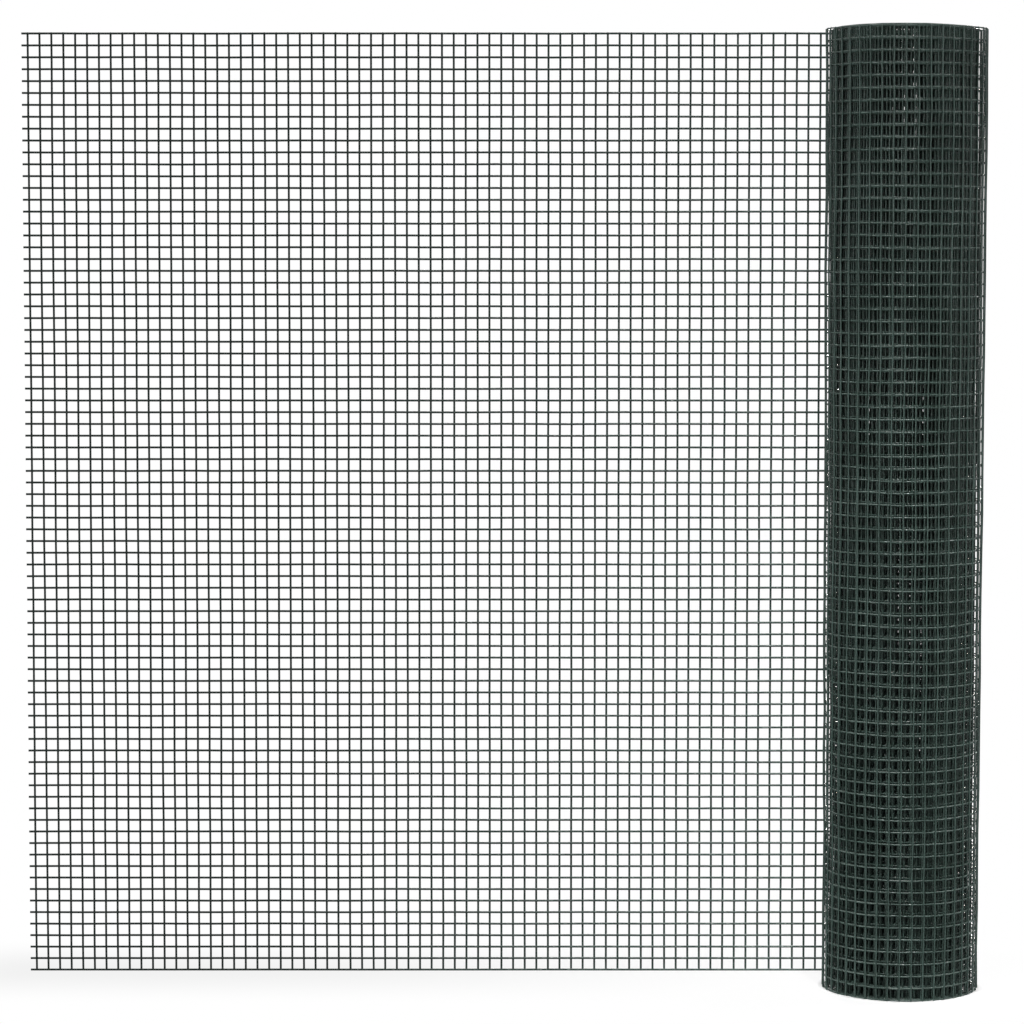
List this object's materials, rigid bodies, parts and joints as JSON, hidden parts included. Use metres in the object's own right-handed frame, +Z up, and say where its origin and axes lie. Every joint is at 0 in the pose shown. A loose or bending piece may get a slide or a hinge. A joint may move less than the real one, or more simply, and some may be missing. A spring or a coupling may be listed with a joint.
{
  "type": "roll of welded wire fencing",
  "caption": "Upright roll of square welded wire mesh with a dark green plastic coating, its free end drawn off the back of the roll and standing out flat to one side.",
  "frame": {"origin": "axis of the roll on the floor that it stands on", "axes": "+Z up along the axis of the roll; the free end leaves the back of the roll (+Y) and runs towards -X"},
  "size_m": [1.009, 0.168, 1.0019],
  "materials": {
    "coated_wire": "dark green plastic coating on steel wire, satin"
  },
  "bodies": {
    "root": {"roll": "coated_wire", "free_end_01": "coated_wire", "free_end_02": "coated_wire", "free_end_03": "coated_wire", "free_end_04": "coated_wire", "free_end_05": "coated_wire", "free_end_06": "coated_wire", "free_end_07": "coated_wire", "free_end_08": "coated_wire", "free_end_09": "coated_wire", "free_end_10": "coated_wire", "free_end_11": "coated_wire", "free_end_12": "coated_wire", "free_end_13": "coated_wire", "free_end_14": "coated_wire"}
  },
  "joints": []
}
